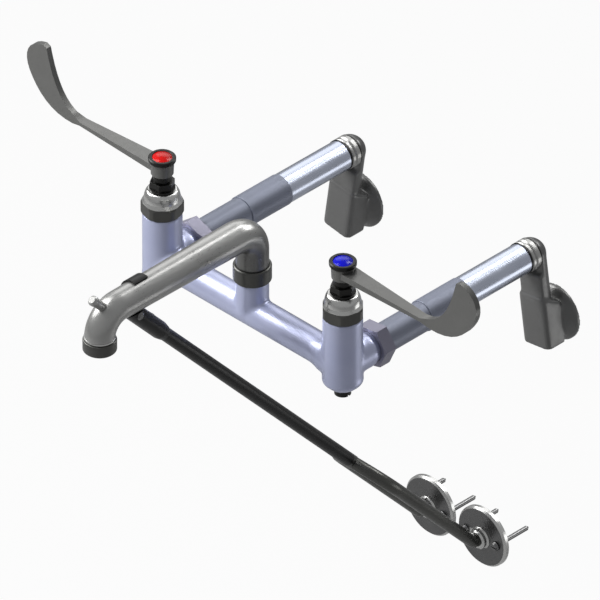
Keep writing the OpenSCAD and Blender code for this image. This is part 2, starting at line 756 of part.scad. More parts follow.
module coupling_nut(side) color([0.65, 0.64, 0.7]) at_valve(side) along_y() difference() {
    translate([0, 0, nut_y]) rotate([0, 0, side < 0 ? -21 : -6]) hex_nut(nut_af, nut_len, 2.2, 0);
    translate([0, 0, nut_y - over]) cylinder(r = inlet_thread_r + slip_gap, h = nut_len - nut_lip + over);
    translate([0, 0, nut_y]) cylinder(d = tail_d + 2 * slip_gap, h = nut_len + over);
}

module tailpiece(side) color([0.65, 0.64, 0.7]) at_valve(side) along_y() difference() {
    union() {
        translate([0, 0, tail_y]) cylinder(r = inlet_thread_r, h = tail_flange_t);
        translate([0, 0, tail_y]) cylinder(d = tail_d, h = tail_end - tail_y);
        translate([0, 0, tail_y]) cylinder(d = joint_d, h = tail_end - tail_y + joint_len);
    }
    translate([0, 0, tail_y - over]) cylinder(d = pipe_bore_d, h = tail_end + joint_len);
}

module pipe_coupling(side) color([0.56, 0.58, 0.64]) at_valve(side) along_y() difference() {
    translate([0, 0, tail_end]) cylinder(d = coupling_d, h = coupling_len);
    translate([0, 0, tail_end - over]) cylinder(d = pipe_bore_d, h = coupling_len + 2 * over);
    translate([0, 0, tail_end - over]) cylinder(d = joint_d + 2 * slip_gap, h = joint_len + over + 0.2);
    translate([0, 0, coupling_end - joint_len - 0.2]) cylinder(d = joint_d + 2 * slip_gap, h = joint_len + over + 0.2);
}

module supply_tube(side) color([0.85, 0.87, 0.92]) at_valve(side) along_y() {
    seal_y = arm_face + spigot_in / 2;
    difference() {
        union() {
            translate([0, 0, coupling_end - joint_len]) cylinder(d = joint_d, h = joint_len + over);
            translate([0, 0, coupling_end]) cylinder(d = tube_d, h = collar_y - coupling_end);
            translate([0, 0, coupling_end]) cylinder(d = swivel_root_d, h = arm_face - pass_gap - coupling_end);
            translate([0, 0, coupling_end]) cylinder(d = swivel_d, h = arm_face + spigot_in - 0.5 - coupling_end);
        }
        translate([0, 0, coupling_end - joint_len - over]) cylinder(d = swivel_bore_d, h = arm_face);
        ring(swivel_d / 2 + over, swivel_d / 2 - seal_groove, seal_y - seal_w / 2, seal_y + seal_w / 2);
    }
}

module arm_seal(side) color([0.1, 0.1, 0.1]) at_valve(side) along_y() {
    seal_y = arm_face + spigot_in / 2;
    ring(swivel_d / 2, swivel_d / 2 - seal_groove, seal_y - seal_w / 2, seal_y + seal_w / 2);
}

module swivel_collar(side) color([0.5, 0.5, 0.5]) at_valve(side) along_y() difference() {
    bead = 1.2;
    collar_r = tube_d / 2 + 0.5;
    rotate_extrude() polygon([
        [0, collar_y], [collar_r - bead, collar_y], [collar_r, collar_y + bead],
        [collar_r, collar_y + collar_len / 2 - bead], [collar_r - bead, collar_y + collar_len / 2],
        [collar_r, collar_y + collar_len / 2 + bead], [collar_r, collar_y + collar_len], [0, collar_y + collar_len]
    ]);
    translate([0, 0, collar_y - over]) cylinder(d = swivel_root_d + 2 * slip_gap, h = collar_len + 2 * over);
    translate([0, 0, collar_y + collar_len / 4]) rotate([-90, 0, 0]) cylinder(d = 4, h = tube_d);
}

// Grub screw under each swivel collar, which holds the drop arm as set
module collar_screws() color([0.3, 0.3, 0.3]) for (side = [-1, 1]) at_valve(side) {
    translate([0, collar_y + collar_len / 4, -tube_d / 2 - 2.6]) difference() {
        cylinder(d = 3.8, h = tube_d / 2 + 2.6 - swivel_root_d / 2 - slip_gap);
        translate([0, 0, -over]) cylinder(d = 2, h = 1.5 + over, $fn = 6);
    }
}

// Plan of the block: a rectangle whose two front corners are rounded
module block_plan() {
    front = stand_off + block_out;
    half = block_w / 2;
    translate([-half, -front + block_round]) square([block_w, front - block_round - block_back]);
    translate([-half + block_round, -front]) square([block_w - 2 * block_round, 2 * block_round]);
    for (turn = [-1, 1]) translate([turn * (half - block_round), -front + block_round]) circle(r = block_round);
}

// Drop arm: a domed elbow on the tube, a flat neck, a block, and a boss with a round plate on the wall
module drop_arm_solid() {
    foot_r = foot_d / 2;
    translate([0, -stand_off, 0]) intersection() {
        union() {
            sphere(r = boss_r);
            translate([0, 0, -arm_drop]) cylinder(r = boss_r - 0.3, h = arm_drop);
        }
        translate([-tube_d, 0, -arm_drop]) cube([2 * tube_d, tube_d, arm_drop + tube_d]);
    }
    translate([neck_half_w, 0, 0]) rotate([0, -90, 0]) linear_extrude(2 * neck_half_w) polygon([
        [-slope_top, -stand_off], [-neck_top, -stand_off - neck_out], [-block_top - 2, -stand_off - neck_out],
        [-block_top - 2, -stand_off + 1], [-slope_top, -stand_off + 1]
    ]);
    intersection() {
        translate([0, 0, -arm_drop - block_len]) linear_extrude(arm_drop + block_len - block_top) block_plan();
        translate([block_w, 0, 0]) rotate([0, -90, 0]) linear_extrude(2 * block_w) polygon([
            [-block_top, -stand_off - neck_out - 0.6], [-block_top - 1, -stand_off - block_out - 1],
            [-arm_drop - block_len - 1, -stand_off - block_out - 1], [-arm_drop - block_len - 1, 0],
            [-block_top - block_slope, 0], [-block_top - block_slope, -block_back]
        ]);
    }
    translate([0, 0, -arm_drop]) along_y() {
        translate([0, 0, -block_back - 1])
            cylinder(d1 = foot_boss_d, d2 = foot_d - 2, h = block_back + 1 - foot_plate);
        translate([0, 0, -foot_plate]) cylinder(r = foot_r, h = foot_plate);
    }
}

module drop_arm(side) color([0.36, 0.36, 0.36]) at_drop_arm(side) difference() {
    drop_arm_solid();
    translate([0, -stand_off - over, 0]) along_y() cylinder(d = swivel_d + 2 * run_gap, h = spigot_in + over);
    translate([0, -arm_way_y, -arm_drop]) cylinder(d = arm_way_d, h = arm_drop);
    translate([0, 0, -arm_drop]) along_y() stepped_bore([
        [inlet_thread_d / 2 - 2, -arm_way_y - 4], [inlet_thread_d / 2 + 0.5, -inlet_depth],
        [inlet_thread_d / 2, -socket_len], [0, over]
    ]);
}

module strainer(side) color([0.75, 0.75, 0.75]) at_drop_arm(side) {
    strainer_d = inlet_thread_d - 2 * slip_gap;
    translate([0, -inlet_depth, -arm_drop]) along_y() difference() {
        cylinder(d = strainer_d, h = strainer_t);
        for (a = [0:60:300]) rotate([0, 0, a]) translate([strainer_d / 4.4, 0, -over])
            cylinder(d = 2.4, h = strainer_t + 2 * over);
        translate([0, 0, -over]) cylinder(d = 2.4, h = strainer_t + 2 * over);
    }
}

// Brace: a sleeve on the spout, a rod and a hairpin whose legs turn into two wall flanges
module brace_sleeve() color([0.2, 0.2, 0.2]) difference() {
    along_brace() difference() {
        union() {
            translate([0, 0, -sleeve_d]) cylinder(d = sleeve_d, h = sleeve_len - sleeve_taper + sleeve_d);
            translate([0, 0, sleeve_len - sleeve_taper]) cylinder(d1 = sleeve_d, d2 = rod_d + 1.2, h = sleeve_taper);
        }
        translate([0, 0, rod_start - 0.2]) cylinder(d = rod_d + 2 * slip_gap, h = sleeve_len);
        translate([0, 0, sleeve_len / 2]) rotate([90, 0, 0]) cylinder(d = 4.2, h = sleeve_d);
        translate([-tongue_t / 2 - slip_gap, -tongue_h / 2 - slip_gap, -sleeve_d])
            cube([tongue_t + 2 * slip_gap, tongue_h + 2 * slip_gap, sleeve_d + tongue_end + slip_gap]);
    }
    translate([0, -wall_reach - strap_out + 2 * strap_w, spout_rise]) rotate([90, 0, 0])
        cylinder(r = strap_r + strap_t + 0.05, h = 4 * strap_w);
    translate([-sleeve_d, brace_y - sleeve_d * 2, spout_rise]) cube([2 * sleeve_d, 4 * sleeve_d, sleeve_d]);
    pin_hole(slip_gap);
}

module brace_rod() color([0.16, 0.16, 0.16]) along_brace() {
    translate([0, 0, rod_start]) cylinder(d = rod_d, h = apex - apex_boss - rod_start);
}

module brace_hairpin() color([0.3, 0.3, 0.3]) {
    hairpin_r = hairpin_d / 2;
    lap = 0.3;
    leg_r = hairpin_r - 0.02;
    leg_end = brace_len - leg_tangent;
    foot_len = flange_stand - leg_tangent + leg_end_y;
    along_brace() {
        translate([0, 0, apex + leg_x]) rotate([-90, 0, 0])
            rotate_extrude(angle = 180) translate([leg_x, 0]) circle(r = hairpin_r);
        translate([0, 0, apex - apex_boss]) cylinder(d = rod_d, h = apex_boss);
        for (side = [-1, 1]) translate([side * leg_x, 0, 0]) {
            translate([0, 0, apex + leg_x - lap]) cylinder(r = leg_r, h = leg_end - apex - leg_x + 2 * lap);
            bend_yz(-leg_bend, leg_end, leg_bend, hairpin_r, 0, brace_angle);
            translate([0, leg_bend * (cos(brace_angle) - 1), leg_end + leg_bend * sin(brace_angle)])
                rotate([brace_angle, 0, 0]) translate([0, 0, -lap]) cylinder(r = leg_r, h = foot_len + lap);
        }
    }
}

module wall_flange(side) color([0.4, 0.4, 0.4]) {
    rim = 1.9;
    translate([side * leg_x, 0, -brace_drop]) along_y() difference() {
        union() {
            rotate_extrude() polygon([
                [0, -flange_t - 1], [flange_d / 4, -flange_t - 0.6], [flange_d / 2 - 2 * rim, -flange_t],
                [flange_d / 2 - rim, -flange_t], [flange_d / 2, -flange_t + rim], [flange_d / 2, 0], [0, 0]
            ]);
            rotate_extrude() polygon([
                [0, -flange_t - hub_len], [hub_r - 1.5, -flange_t - hub_len], [hub_r, -flange_t - hub_len + 1.5],
                [hub_r, -flange_t - 2], [hub_r + 2, -flange_t], [0, -flange_t]
            ]);
        }
        translate([0, 0, -flange_t - hub_len - over])
            cylinder(d = hairpin_d + 2 * slip_gap, h = flange_t + hub_len + over + leg_end_y + 0.2);
        for (x = [-1, 1]) translate([x * screw_pitch / 2, 0, -flange_t - 2 * over])
            cylinder(d = screw_d + 2 * slip_gap, h = flange_t + 4 * over);
        translate([0, 0, -flange_t - hub_len / 2]) rotate([90, 0, 0]) cylinder(d = 4.2, h = hub_r + over);
    }
}

module wall_screws() color([0.5, 0.5, 0.5]) {
    head_d = 2 * screw_d;
    head_t = 2.4;
    for (side = [-1, 1]) for (x = [-1, 1])
        translate([side * leg_x + x * screw_pitch / 2, 0, -brace_drop]) along_y() difference() {
            union() {
                translate([0, 0, -flange_t - head_t - 0.9]) cylinder(d1 = head_d - 2, d2 = head_d, h = head_t);
                translate([0, 0, -flange_t - 1.5]) cylinder(d = screw_d - 1, h = flange_t + 3);
                translate([0, 0, 0.3]) cylinder(d = screw_d, h = screw_out - 2.3);
                translate([0, 0, screw_out - 2]) cylinder(d1 = screw_d, d2 = 1, h = 2);
            }
            translate([-head_d, -0.5, -flange_t - head_t - 0.9 - over]) cube([2 * head_d, 1, over + 1]);
        }
}

// Grub screws in the sleeve and in the two flange hubs
module set_screws() color([0.55, 0.55, 0.55]) {
    along_brace() translate([0, 0, sleeve_len / 2]) rotate([90, 0, 0]) grub_screw(rod_d / 2, sleeve_d / 2);
    for (side = [-1, 1]) translate([side * leg_x, -flange_t - hub_len / 2, -brace_drop])
        grub_screw(hairpin_d / 2, hub_r);
}

module grub_screw(r_in, r_out) {
    translate([0, 0, r_in + slip_gap]) difference() {
        cylinder(d = 4, h = r_out - r_in);
        translate([0, 0, r_out - r_in - 1.2]) cylinder(d = 2, h = 2, $fn = 6);
    }
}

bridge_body();
spout_gasket();
spout_nut();
spout();
pail_hook();
stream_regulator();
outlet_collar();
seat_seal(-1);  // hot_seat_seal
fixed_disc(-1);  // hot_fixed_disc
moving_disc(-1);  // hot_moving_disc
cartridge(-1);  // hot_cartridge
stem(-1);  // hot_stem
packing(-1);  // hot_packing
bonnet(-1);  // hot_bonnet
packing_nut(-1);  // hot_packing_nut
handle(-1);  // hot_handle
handle_screw(-1);  // hot_handle_screw
index_cap(-1);  // hot_index_cap
stop_plug(-1);  // hot_stop_plug
seat_seal(1);  // cold_seat_seal
fixed_disc(1);  // cold_fixed_disc
moving_disc(1);  // cold_moving_disc
cartridge(1);  // cold_cartridge
stem(1);  // cold_stem
packing(1);  // cold_packing
bonnet(1);  // cold_bonnet
packing_nut(1);  // cold_packing_nut
handle(1);  // cold_handle
handle_screw(1);  // cold_handle_screw
index_cap(1);  // cold_index_cap
stop_plug(1);  // cold_stop_plug
inlet_washer(-1);  // hot_inlet_washer
coupling_nut(-1);  // hot_coupling_nut
tailpiece(-1);  // hot_tailpiece
pipe_coupling(-1);  // hot_pipe_coupling
supply_tube(-1);  // hot_supply_tube
arm_seal(-1);  // hot_arm_seal
swivel_collar(-1);  // hot_swivel_collar
drop_arm(-1);  // hot_drop_arm
strainer(-1);  // hot_strainer
inlet_washer(1);  // cold_inlet_washer
coupling_nut(1);  // cold_coupling_nut
tailpiece(1);  // cold_tailpiece
pipe_coupling(1);  // cold_pipe_coupling
supply_tube(1);  // cold_supply_tube
arm_seal(1);  // cold_arm_seal
swivel_collar(1);  // cold_swivel_collar
drop_arm(1);  // cold_drop_arm
strainer(1);  // cold_strainer
collar_screws();
brace_strap();
brace_pin();
brace_sleeve();
brace_rod();
brace_hairpin();
wall_flange(-1);  // left_wall_flange
wall_flange(1);  // right_wall_flange
wall_screws();
set_screws();
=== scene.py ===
# %% [markdown]
# # A wall mounted service sink faucet
#
# The faucet bolts to the wall behind a deep sink: two wrist blade valves sit on a cast bridge,
# and a long spout with a pail hook is held up by a brace that runs down to two wall flanges.
# The solids come packed from the CAD model and already stand in their places, in metres, with
# the origin on the wall. They could be copied and rebuilt, but most of them are right as they
# are, so this lesson loads them as a fixed frame, dresses them, and replaces only the pieces
# whose edges and blends the CAD keeps plain.

import json
import math

import bmesh
import bpy
from mathutils import Matrix, Vector


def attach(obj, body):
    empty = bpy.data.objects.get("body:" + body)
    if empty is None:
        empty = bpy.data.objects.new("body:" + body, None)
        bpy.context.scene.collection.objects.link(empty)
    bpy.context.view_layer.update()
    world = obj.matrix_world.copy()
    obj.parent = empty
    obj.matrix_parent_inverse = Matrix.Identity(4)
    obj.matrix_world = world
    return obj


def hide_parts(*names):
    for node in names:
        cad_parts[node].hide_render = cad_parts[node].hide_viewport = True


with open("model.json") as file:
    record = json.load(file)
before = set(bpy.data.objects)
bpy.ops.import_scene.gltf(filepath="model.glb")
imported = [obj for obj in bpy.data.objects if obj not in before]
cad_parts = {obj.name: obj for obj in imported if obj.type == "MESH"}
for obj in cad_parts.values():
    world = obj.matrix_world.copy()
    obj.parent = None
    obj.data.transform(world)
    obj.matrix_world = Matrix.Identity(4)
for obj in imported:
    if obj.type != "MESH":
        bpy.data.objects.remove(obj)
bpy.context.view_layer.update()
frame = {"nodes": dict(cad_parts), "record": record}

# %% [markdown]
# ## Colours and nodes
#
# A colour is easiest to write as the hex value that a screen shows, but Blender's shaders
# expect linear light, so one function converts every colour. A material is a small network of
# nodes. They could be placed one line at a time, but that hides the idea behind the typing, so
# one short function adds a node, sets it and wires it.

# %% Two helpers
MM = 0.001


def linear(hex_colour):
    channels = [int(hex_colour[i:i + 2], 16) / 255 for i in (0, 2, 4)]
    return [c / 12.92 if c <= 0.04045 else ((c + 0.055) / 1.055) ** 2.4 for c in channels] + [1.0]


def put(tree, kind, settings, sockets):
    made = tree.nodes.new(kind)
    for name, value in settings.items():
        setattr(made, name, value)
    for name, value in sockets.items():
        if isinstance(value, bpy.types.NodeSocket):
            tree.links.new(value, made.inputs[name])
        else:
            made.inputs[name].default_value = value
    return made


print("mid grey is", [round(c, 3) for c in linear("808080")])

# %% [markdown]
# ## Plated metal
#
# Nearly every piece is brass or steel under a plating. A plating has one colour, but no real
# surface is even: the polish left faint waves, the plating is a little thicker in places, and
# hands and hard water dull it in patches. The joints and inside corners also get painted shade:
# ambient occlusion darkens the colour where the shade falls. So one function makes a plated
# metal from a few facts: two close colours, a roughness, the size of its polishing marks and
# their depth. The marks read Object coordinates, so they stay put on the piece, and `stretch`
# draws them out along an axis where the piece was turned or buffed. `shine` is how much of the
# light a satin surface sends back as a mirror does, the rest being scattered by its fine marks.

# %% Plated metal
PATCH_MM = 35  # how wide the dull patches are
# painted shade: ambient occlusion darkens the colour in joints and inside corners
JOINT_SHADE_MM = 4  # how far a joint's shade reaches
JOINT_SHADE_SHARE = 0.55  # how much of the colour is left deep in a joint


def plated(name, pale, deep, roughness, grain_mm, relief_mm, stretch=(1, 1, 1), shine=1.0):
    finish = bpy.data.materials.new(name)
    finish.use_nodes = True
    tree = finish.node_tree
    shader = tree.nodes["Principled BSDF"]
    shader.inputs["Metallic"].default_value = shine
    where = put(tree, "ShaderNodeTexCoord", {}, {})
    drawn = put(tree, "ShaderNodeMapping", {}, {"Vector": where.outputs["Object"], "Scale": stretch})
    patches = put(tree, "ShaderNodeTexNoise", {}, {
        "Vector": where.outputs["Object"], "Scale": 1 / (PATCH_MM * MM),
        "Detail": 3.0, "Roughness": 0.6})
    grain = put(tree, "ShaderNodeTexNoise", {}, {
        "Vector": drawn.outputs["Vector"], "Scale": 1 / (grain_mm * MM),
        "Detail": 2.0, "Roughness": 0.5})
    tone = put(tree, "ShaderNodeMix", {"data_type": "RGBA"}, {
        0: patches.outputs["Fac"], 6: linear(deep), 7: linear(pale)})
    # painted shade: the colour is darkened where ambient occlusion finds joints and inside corners
    joint_occlusion = put(tree, "ShaderNodeAmbientOcclusion", {"samples": 8}, {"Distance": JOINT_SHADE_MM * MM})
    shade_factor = put(tree, "ShaderNodeMapRange", {}, {
        "Value": joint_occlusion.outputs["AO"], "From Min": 0.15, "From Max": 0.75,
        "To Min": JOINT_SHADE_SHARE, "To Max": 1.0})
    # the painted shade multiplies the plating's tone
    tone_with_painted_shade = put(tree, "ShaderNodeMix", {"data_type": "RGBA", "blend_type": "MULTIPLY"}, {
        0: 1.0, 6: tone.outputs[2], 7: shade_factor.outputs["Result"]})
    tree.links.new(tone_with_painted_shade.outputs[2], shader.inputs["Base Color"])
    both = put(tree, "ShaderNodeMath", {"operation": "MULTIPLY_ADD"}, {
        0: patches.outputs["Fac"], 1: 0.5, 2: grain.outputs["Fac"]})
    dull = put(tree, "ShaderNodeMapRange", {}, {
        "Value": both.outputs["Value"], "From Min": 0.4, "From Max": 1.1,
        "To Min": roughness * 0.8, "To Max": roughness * 1.25})
    tree.links.new(dull.outputs["Result"], shader.inputs["Roughness"])
    marks = put(tree, "ShaderNodeBump", {}, {
        "Height": grain.outputs["Fac"], "Distance": relief_mm * MM, "Strength": 1.0})
    tree.links.new(marks.outputs["Normal"], shader.inputs["Normal"])
    return finish


FINISH = {
    # Cast brass under satin chrome: bluish, soft, with the casting's faint waves
    "cast_brass": plated(
        "satin_chrome_on_cast_brass", "C6CBE6", "B2B8D8", 0.34, 7, 0.03, shine=0.45),
    # Brass tube under chrome, buffed along its length
    "plated_spout": plated(
        "buffed_chrome_on_brass_tube", "B2B2B0", "A0A09E", 0.31, 4, 0.0015, (3, 0.6, 3), shine=0.85),
    # Turned brass under satin chrome
    "plated_nut": plated(
        "satin_chrome_on_turned_brass", "9896A8", "868496", 0.36, 2, 0.002, shine=0.35),
    # Turned ring and bent steel rod, their plating darkened by handling
    "spout_ring": plated("dark_nickel_on_turned_brass", "5E5E5B", "4C4C4A", 0.32, 2, 0.0015, shine=0.8),
    # Turned brass that was only dipped, so it stays matt
    "coupling": plated("dull_chrome_on_turned_brass", "8F94A5", "7F8493", 0.45, 2, 0.004, shine=0.35),
    # Drawn tube under mirror chrome
    "bright_tube": plated(
        "mirror_chrome_on_drawn_tube", "C2C8D6", "B2B8C8", 0.27, 6, 0.001, (2, 0.3, 2)),
    # Forged brass, polished before it was chromed
    "bonnet": plated("mirror_chrome_on_forged_brass", "D0D0CE", "BEBEBC", 0.24, 4, 0.002),
    # Small turned nuts and rings in black nickel
    "dark_nut": plated("black_nickel_on_turned_brass", "3C3C3B", "2A2A29", 0.30, 2, 0.004),
    # Forged wrist blades, satin all over
    "handle": plated("satin_chrome_on_forged_brass", "767674", "686866", 0.32, 6, 0.003, shine=0.55),
    # Drop arms: castings with a dull nickel
    "dark_arm": plated("satin_nickel_on_cast_brass", "737372", "676766", 0.34, 7, 0.012, shine=0.35),
    # Steel of the brace, blackened in hot salts
    "brace": plated("blackened_steel", "303030", "242424", 0.34, 3, 0.0015, (2, 0.6, 0.6), shine=0.8),
    # Pressed wall flanges
    "flange": plated("dark_nickel_on_pressed_steel", "747474", "626262", 0.28, 4, 0.004, shine=0.85),
    # Screws, and the bare metal inside the valves
    "screw": plated("zinc_on_steel", "7E7E7E", "6A6A6A", 0.28, 1.5, 0.003),
    "raw_brass": plated("turned_brass", "C9A75C", "B8954A", 0.28, 2, 0.004),
}
print(len(FINISH), "metal finishes")

# %% [markdown]
# ## A dulled riser
#
# In the photograph the riser is much darker than the arm, because it faces sideways and down,
# away from the light, so its colour gets painted shade. A second material would show a hard
# line across the tube. So the same material is darkened by distance: close to a point at the
# riser's foot it keeps less than half of its colour, and the painted shade fades out at the bend.

# %% Darken by distance

# painted shade: darkens the colour near a point and fades out with distance
def painted_shade_near(finish, place_mm, near_mm, far_mm, share):
    tree = finish.node_tree
    shader = tree.nodes["Principled BSDF"]
    where = put(tree, "ShaderNodeTexCoord", {}, {})
    away = put(tree, "ShaderNodeVectorMath", {"operation": "DISTANCE"}, {
        0: where.outputs["Object"], 1: [length * MM for length in place_mm]})
    left = put(tree, "ShaderNodeMapRange", {}, {
        "Value": away.outputs["Value"], "From Min": near_mm * MM, "From Max": far_mm * MM,
        "To Min": share, "To Max": 1.0})
    riser_shade = put(tree, "ShaderNodeMix", {"data_type": "RGBA", "blend_type": "MULTIPLY"}, {
        0: 1.0, 6: shader.inputs["Base Color"].links[0].from_socket, 7: left.outputs["Result"]})
    tree.links.new(riser_shade.outputs[2], shader.inputs["Base Color"])


# painted shade on the riser: its colour is darkened near its foot
painted_shade_near(FINISH["plated_spout"], place_mm=(0, -235, 20), near_mm=44, far_mm=70, share=0.42)
print("the riser keeps 0.42 of its colour at its foot")

# %% [markdown]
# ## Plastic, ceramic and rubber
#
# The index caps are moulded acetal: coloured right through, with a soft gloss and a skin that
# ripples very slightly where it shrank in the mould. The valve discs are lapped alumina and
# the seals are nitrile rubber. None of these is a metal, so their gloss comes from the IOR.

# %% Moulded, lapped and rubber finishes
def moulded(name, pale, deep, roughness, ior, grain_mm, relief_mm):
    finish = plated(name, pale, deep, roughness, grain_mm, relief_mm, shine=0.0)
    shader = finish.node_tree.nodes["Principled BSDF"]
    shader.inputs["IOR"].default_value = ior
    shader.inputs["Specular IOR Level"].default_value = 0.3
    return finish


FINISH["hot_cap"] = moulded("moulded_acetal_red", "E61410", "D20C0A", 0.16, 1.48, 6, 0.003)
FINISH["cold_cap"] = moulded("moulded_acetal_blue", "0A10DC", "0408C4", 0.16, 1.48, 6, 0.003)
FINISH["ceramic"] = moulded("lapped_alumina", "F2F1EA", "E6E4DB", 0.22, 1.76, 3, 0.003)
FINISH["rubber"] = moulded("nitrile_rubber", "1E1E1E", "161616", 0.65, 1.52, 1.2, 0.03)
print("finishes:", ", ".join(FINISH))

# %% [markdown]
# ## Dressing the CAD pieces
#
# The record names a finish for every node, so the script asks it which slot a node has and
# hangs the matching material on it. That keeps one list of finishes for the whole object.

# %% Dress every node
for part in frame["record"]["subparts"]:
    dressed = frame["nodes"][part["node"]]
    dressed.data.materials.clear()
    dressed.data.materials.append(FINISH[part["material_slot"]])
print(len(frame["nodes"]), "nodes dressed")

# %% [markdown]
# ## Rounded edges
#
# A CAD edge is perfectly sharp, and a sharp edge catches no light. Real edges are broken by a
# file or rounded by the casting mould, and that thin bright line is what makes metal look
# solid. A Bevel modifier could do it on the CAD piece, but its mesh is loose triangles and
# must stay as it is. So each piece is copied, its triangles are merged into flat faces, and
# bmesh bevels only the edges that turn by more than 25 degrees. A Weighted Normal modifier then
# lets the large faces decide the shading, so that a flat face stays flat up to its thin bevel.

# %% Copy with broken edges
WELD_MM = 0.002
FLAT_DEGREES = 0.6
EDGE_DEGREES = 25


def body_of_node(node):
    for body, nodes in frame["record"]["behaviour"]["bodies"].items():
        if node in nodes:
            return body


def placed(shape, name, body, finish):
    mesh = bpy.data.meshes.new(name)
    shape.to_mesh(mesh)
    shape.free()
    mesh.materials.append(finish)
    made = bpy.data.objects.new(name, mesh)
    bpy.context.collection.objects.link(made)
    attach(made, body)
    return made


def stands_for(node, shape, name, slot=None):
    finish = FINISH[slot] if slot else frame["nodes"][node].data.materials[0]
    made = placed(shape, name, body_of_node(node), finish)
    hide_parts(node)
    return made


def merged_copy(node):
    shape = bmesh.new()
    shape.from_mesh(frame["nodes"][node].data)
    bmesh.ops.remove_doubles(shape, verts=shape.verts, dist=WELD_MM * MM)
    flat = [edge for edge in shape.edges
            if edge.is_manifold and edge.calc_face_angle(9) < math.radians(FLAT_DEGREES)]
    bmesh.ops.dissolve_edges(shape, edges=flat, use_verts=False)
    return shape


def broken_edges(shape, width_mm):
    sharp = [edge for edge in shape.edges
             if edge.is_manifold and edge.calc_face_angle(0) > math.radians(EDGE_DEGREES)]
    bmesh.ops.bevel(shape, geom=sharp, offset=width_mm * MM, offset_type="OFFSET", segments=2,
                    profile=0.5, affect="EDGES", material=-1, clamp_overlap=True, loop_slide=True)
    for face in shape.faces:
        face.smooth = True
    return len(sharp)


def shade_by_angle(piece, degrees):
    piece.data.set_sharp_from_angle(angle=math.radians(degrees))
    even = piece.modifiers.new("even_normals", "WEIGHTED_NORMAL")
    even.keep_sharp = True


def broken(node, width_mm, slot):
    shape = merged_copy(node)
    count = broken_edges(shape, width_mm)
    shade_by_angle(stands_for(node, shape, f"{node}_broken", slot), 40)
    print(f"{node}: {count} edges broken by {width_mm} mm")


# Piece: width of the broken edge in mm, and a finish where it isn't the record's own
ON_BOTH_SIDES = {
    "handle": (0.7, None), "coupling_nut": (0.6, None), "packing_nut": (0.3, None),
    "swivel_collar": (0.25, "plated_spout"), "stop_plug": (0.4, "dark_nut"),
    "tailpiece": (0.3, "coupling"), "pipe_coupling": (0.6, None)}
SINGLE = {
    "spout_nut": (0.4, None), "outlet_collar": (0.4, None), "pail_hook": (1.2, None),
    "brace_sleeve": (0.4, None), "brace_strap": (0.3, None), "brace_hairpin": (0.3, "spout_ring")}
for side in ("hot", "cold"):
    for part, (width, slot) in ON_BOTH_SIDES.items():
        broken(f"{side}_{part}", width, slot)
for node, (width, slot) in SINGLE.items():
    broken(node, width, slot)

# %% [markdown]
# ## Several finishes on one piece
#
# A bonnet is one forging, but it is finished in two ways: its dome is polished to a mirror,
# while the hexagon that a spanner grips is only dipped, and stays dark. The wall flanges have a
# polished rim and hub, and a dull face between them. Painting the colours on one mesh would
# blur at the joints, so copies are cut by planes into layers and each layer is finished alone.

# %% Cut into layers
def keep_beyond(shape, place, facing):
    geometry = shape.verts[:] + shape.edges[:] + shape.faces[:]
    cut = bmesh.ops.bisect_plane(shape, geom=geometry, plane_co=place, plane_no=facing, clear_inner=True)
    rim = [item for item in cut["geom_cut"] if isinstance(item, bmesh.types.BMEdge)]
    bmesh.ops.triangle_fill(shape, edges=rim, use_beauty=True, normal=-facing)


def layered(node, way, cuts_mm, slots, width_mm):
    for level, slot in enumerate(slots):
        shape = merged_copy(node)
        if level > 0:
            keep_beyond(shape, way * cuts_mm[level - 1] * MM, way)
        if level < len(cuts_mm):
            keep_beyond(shape, way * cuts_mm[level] * MM, -way)
        bmesh.ops.recalc_face_normals(shape, faces=shape.faces)
        broken_edges(shape, width_mm)
        shade_by_angle(stands_for(node, shape, f"{node}_layer_{level}", slot), 30)
    print(f"{node}: {', '.join(slots)}")


for side in ("hot", "cold"):
    layered(f"{side}_bonnet", Vector((0, 0, 1)), [56.2], ["spout_ring", "bonnet"], 0.4)
for side in ("left", "right"):
    layered(f"{side}_wall_flange", Vector((0, -1, 0)), [4.8, 5.6], ["bonnet", "flange", "bonnet"], 0.25)

# %% [markdown]
# ## Rings and beads
#
# A few thin rings finish the joints: a black ring round each index cap, a wiper at both ends of
# each swivel, and the bright rolled bead of the spout above its outlet collar. Each could be a
# torus, but a turned ring has a profile with flats and corners, so a small outline in the plane
# of the axis is spun once round it. The places are read off the nodes that the rings sit on.
# Each outline is a list of radius and height in millimetres.

# %% Spun rings
def spun(name, outline_mm, centre, axis, body, slot):
    shape = bmesh.new()
    side_way = Vector((1, 0, 0))
    points = [shape.verts.new(centre + side_way * r * MM + axis * h * MM) for r, h in outline_mm]
    edges = [shape.edges.new((points[i - 1], points[i])) for i in range(len(points))]
    bmesh.ops.spin(shape, geom=points + edges, cent=centre, axis=axis, angle=math.tau, steps=64,
                   use_merge=True)
    bmesh.ops.remove_doubles(shape, verts=shape.verts, dist=0.001 * MM)
    bmesh.ops.recalc_face_normals(shape, faces=shape.faces)
    for face in shape.faces:
        face.smooth = True
    made = placed(shape, name, body, FINISH[slot])
    shade_by_angle(made, 40)
    return made


def reach(node, axis, pick, near=None):
    places = [vertex.co for vertex in frame["nodes"][node].data.vertices]
    if near:
        places = [place for place in places
                  if math.hypot(place.x - near[0], place.y - near[1]) < 12 * MM]
    return pick(place[axis] for place in places)


